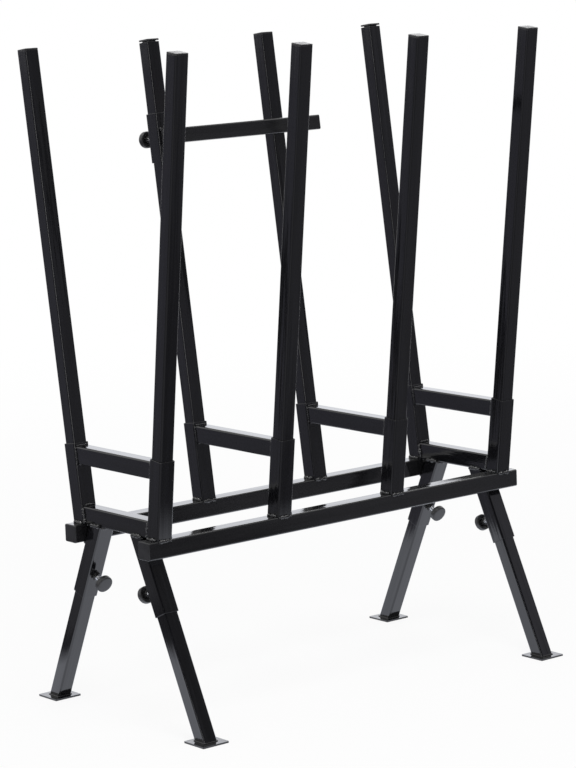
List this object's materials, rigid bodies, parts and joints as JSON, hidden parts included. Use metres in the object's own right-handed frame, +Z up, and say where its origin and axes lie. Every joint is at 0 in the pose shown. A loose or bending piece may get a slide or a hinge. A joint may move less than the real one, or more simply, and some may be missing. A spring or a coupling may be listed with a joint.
{
  "type": "log saw stand",
  "caption": "Black steel stand for sawing logs: pairs of leaning posts in sockets on long rails, telescopic splayed legs and a sliding hold-down bar.",
  "frame": {"origin": "on the floor, in the middle of the stand's box", "axes": "+X along the rails to the right, +Y to the back, where the hold-down is, +Z up"},
  "size_m": [0.816, 0.4654, 1.1099],
  "materials": {
    "black_paint": "gloss black paint on steel tube",
    "plastic_cap": "moulded black plastic",
    "knob_plastic": "moulded black plastic, satin",
    "zinc_screw": "bright zinc plate"
  },
  "bodies": {
    "frame": {"front_rail": "black_paint", "back_rail": "black_paint", "rail_end_plugs": "plastic_cap", "front_socket_1": "black_paint", "front_socket_2": "black_paint", "front_socket_3": "black_paint", "front_socket_4": "black_paint", "back_socket_1": "black_paint", "back_socket_2": "black_paint", "back_socket_3": "black_paint", "back_socket_4": "black_paint", "rung_1": "black_paint", "rung_2": "black_paint", "rung_3": "black_paint", "rung_4": "black_paint", "cross_tube_1": "black_paint", "cross_tube_4": "black_paint", "front_left_leg_socket": "black_paint", "front_right_leg_socket": "black_paint", "back_left_leg_socket": "black_paint", "back_right_leg_socket": "black_paint", "leg_weld_nuts": "black_paint"},
    "front_post_1": {"front_post_1": "black_paint", "front_post_cap_1": "plastic_cap"},
    "front_post_2": {"front_post_2": "black_paint", "front_post_cap_2": "plastic_cap"},
    "front_post_3": {"front_post_3": "black_paint", "front_post_cap_3": "plastic_cap"},
    "front_post_4": {"front_post_4": "black_paint", "front_post_cap_4": "plastic_cap"},
    "back_post_1": {"back_post_1": "black_paint", "back_post_cap_1": "plastic_cap"},
    "back_post_2": {"back_post_2": "black_paint", "back_post_cap_2": "plastic_cap"},
    "back_post_3": {"back_post_3": "black_paint", "back_post_cap_3": "plastic_cap"},
    "back_post_4": {"back_post_4": "black_paint", "back_post_cap_4": "plastic_cap"},
    "front_left_leg": {"front_left_leg": "black_paint", "front_left_foot": "black_paint"},
    "front_left_screw": {"front_left_screw": "zinc_screw"},
    "front_left_knob": {"front_left_knob": "knob_plastic"},
    "front_right_leg": {"front_right_leg": "black_paint", "front_right_foot": "black_paint"},
    "front_right_screw": {"front_right_screw": "zinc_screw"},
    "front_right_knob": {"front_right_knob": "knob_plastic"},
    "back_left_leg": {"back_left_leg": "black_paint", "back_left_foot": "black_paint"},
    "back_left_screw": {"back_left_screw": "zinc_screw"},
    "back_left_knob": {"back_left_knob": "knob_plastic"},
    "back_right_leg": {"back_right_leg": "black_paint", "back_right_foot": "black_paint"},
    "back_right_screw": {"back_right_screw": "zinc_screw"},
    "back_right_knob": {"back_right_knob": "knob_plastic"},
    "hold_down": {"hold_down_sleeve": "black_paint", "hold_down_bar": "black_paint", "hold_down_bar_plugs": "plastic_cap", "hold_down_nut": "black_paint"},
    "hold_down_screw": {"hold_down_screw": "zinc_screw"},
    "hold_down_knob": {"hold_down_knob": "knob_plastic"}
  },
  "joints": [
    {"name": "front_post_1_lift", "type": "slide", "parent": "frame", "child": "front_post_1", "axis": [0, -0.1305, 0.9914], "range_m": [0, 0.14]},
    {"name": "front_post_2_lift", "type": "slide", "parent": "frame", "child": "front_post_2", "axis": [0, -0.1305, 0.9914], "range_m": [0, 0.14]},
    {"name": "front_post_3_lift", "type": "slide", "parent": "frame", "child": "front_post_3", "axis": [0, -0.1305, 0.9914], "range_m": [0, 0.14]},
    {"name": "front_post_4_lift", "type": "slide", "parent": "frame", "child": "front_post_4", "axis": [0, -0.1305, 0.9914], "range_m": [0, 0.14]},
    {"name": "back_post_1_lift", "type": "slide", "parent": "frame", "child": "back_post_1", "axis": [0, 0.1305, 0.9914], "range_m": [0, 0.14]},
    {"name": "back_post_2_lift", "type": "slide", "parent": "frame", "child": "back_post_2", "axis": [0, 0.1305, 0.9914], "range_m": [0, 0.14]},
    {"name": "back_post_3_lift", "type": "slide", "parent": "frame", "child": "back_post_3", "axis": [0, 0.1305, 0.9914], "range_m": [0, 0.14]},
    {"name": "back_post_4_lift", "type": "slide", "parent": "frame", "child": "back_post_4", "axis": [0, 0.1305, 0.9914], "range_m": [0, 0.14]},
    {"name": "front_left_leg_slide", "type": "slide", "parent": "frame", "child": "front_left_leg", "axis": [0, -0.4226, -0.9063], "range_m": [-0.03, 0.04]},
    {"name": "front_left_screw_travel", "type": "slide", "parent": "frame", "child": "front_left_screw", "axis": [0, 0.9063, -0.4226], "range_m": [0, 0.0025]},
    {"name": "front_left_knob_turn", "type": "hinge", "parent": "front_left_screw", "child": "front_left_knob", "pos_m": [-0.375, -0.08414, 0.23203], "axis": [0, 0.9063, -0.4226], "range_deg": [0, 723]},
    {"name": "front_right_leg_slide", "type": "slide", "parent": "frame", "child": "front_right_leg", "axis": [0, -0.4226, -0.9063], "range_m": [-0.03, 0.04]},
    {"name": "front_right_screw_travel", "type": "slide", "parent": "frame", "child": "front_right_screw", "axis": [0, 0.9063, -0.4226], "range_m": [0, 0.0025]},
    {"name": "front_right_knob_turn", "type": "hinge", "parent": "front_right_screw", "child": "front_right_knob", "pos_m": [0.375, -0.08414, 0.23203], "axis": [0, 0.9063, -0.4226], "range_deg": [0, 723]},
    {"name": "back_left_leg_slide", "type": "slide", "parent": "frame", "child": "back_left_leg", "axis": [0, 0.4226, -0.9063], "range_m": [-0.03, 0.04]},
    {"name": "back_left_screw_travel", "type": "slide", "parent": "frame", "child": "back_left_screw", "axis": [0, -0.9063, -0.4226], "range_m": [0, 0.0025]},
    {"name": "back_left_knob_turn", "type": "hinge", "parent": "back_left_screw", "child": "back_left_knob", "pos_m": [-0.375, 0.08414, 0.23203], "axis": [0, -0.9063, -0.4226], "range_deg": [0, 723]},
    {"name": "back_right_leg_slide", "type": "slide", "parent": "frame", "child": "back_right_leg", "axis": [0, 0.4226, -0.9063], "range_m": [-0.03, 0.04]},
    {"name": "back_right_screw_travel", "type": "slide", "parent": "frame", "child": "back_right_screw", "axis": [0, -0.9063, -0.4226], "range_m": [0, 0.0025]},
    {"name": "back_right_knob_turn", "type": "hinge", "parent": "back_right_screw", "child": "back_right_knob", "pos_m": [0.375, 0.08414, 0.23203], "axis": [0, -0.9063, -0.4226], "range_deg": [0, 723]},
    {"name": "hold_down_slide", "type": "slide", "parent": "back_post_2", "child": "hold_down", "axis": [0, 0.1305, 0.9914], "range_m": [-0.44, 0.12]},
    {"name": "hold_down_screw_travel", "type": "slide", "parent": "hold_down", "child": "hold_down_screw", "axis": [0, 0.9914, -0.1305], "range_m": [0, 0.0025]},
    {"name": "hold_down_knob_turn", "type": "hinge", "parent": "hold_down_screw", "child": "hold_down_knob", "pos_m": [-0.125, 0.1976, 0.93895], "axis": [0, 0.9914, -0.1305], "range_deg": [0, 723]}
  ],
  "couplings": [
    {"joint": "front_left_knob_turn", "follows": "front_left_screw_travel", "rad_per_m": 5026.5},
    {"joint": "front_right_knob_turn", "follows": "front_right_screw_travel", "rad_per_m": 5026.5},
    {"joint": "back_left_knob_turn", "follows": "back_left_screw_travel", "rad_per_m": 5026.5},
    {"joint": "back_right_knob_turn", "follows": "back_right_screw_travel", "rad_per_m": 5026.5},
    {"joint": "hold_down_knob_turn", "follows": "hold_down_screw_travel", "rad_per_m": 5026.5}
  ]
}
